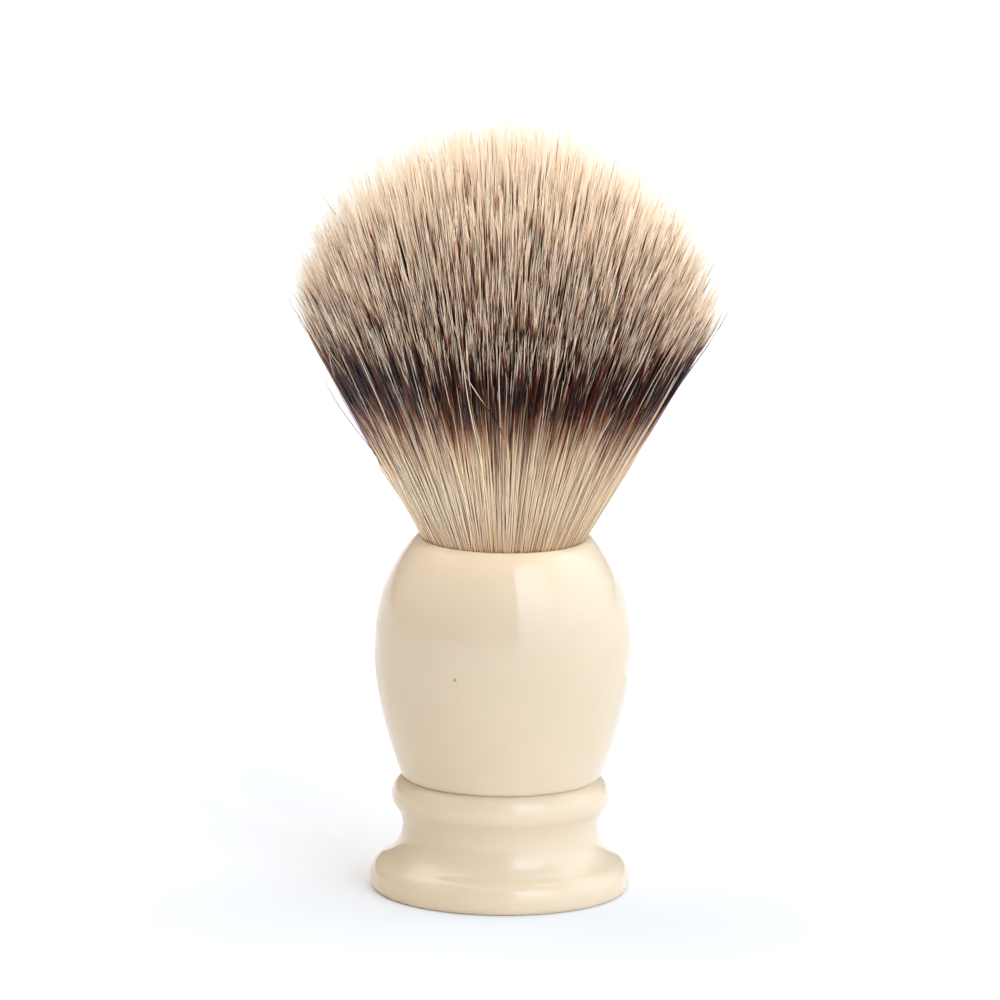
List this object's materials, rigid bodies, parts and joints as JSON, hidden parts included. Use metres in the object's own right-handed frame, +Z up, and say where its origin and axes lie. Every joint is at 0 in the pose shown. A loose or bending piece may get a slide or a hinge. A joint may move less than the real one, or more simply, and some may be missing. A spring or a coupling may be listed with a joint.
{
  "type": "shaving brush",
  "caption": "Free-standing shaving brush: a turned, waisted resin handle with a flared, dome-tipped knot of synthetic fibres for working up lather.",
  "frame": {"origin": "centre of the foot's underside, in the plane that it stands on", "axes": "+Z up along the axis of the brush, from the foot to the fibre tips; X and Y are equivalent, because every piece is turned about Z"},
  "size_m": [0.0536, 0.0536, 0.1015],
  "materials": {
    "handle_resin": "gloss",
    "glue": "gloss",
    "ring_metal": "satin",
    "root_resin": "satin",
    "thread": "matte",
    "fibre_core": "satin",
    "fibre_middle": "satin",
    "fibre_outer": "satin"
  },
  "bodies": {
    "root": {"handle_body": "handle_resin", "socket_adhesive": "glue", "knot_ring": "ring_metal", "root_plug": "root_resin", "binding_thread": "thread", "tuft_core": "fibre_core", "tuft_middle": "fibre_middle", "tuft_outer": "fibre_outer"}
  },
  "joints": []
}
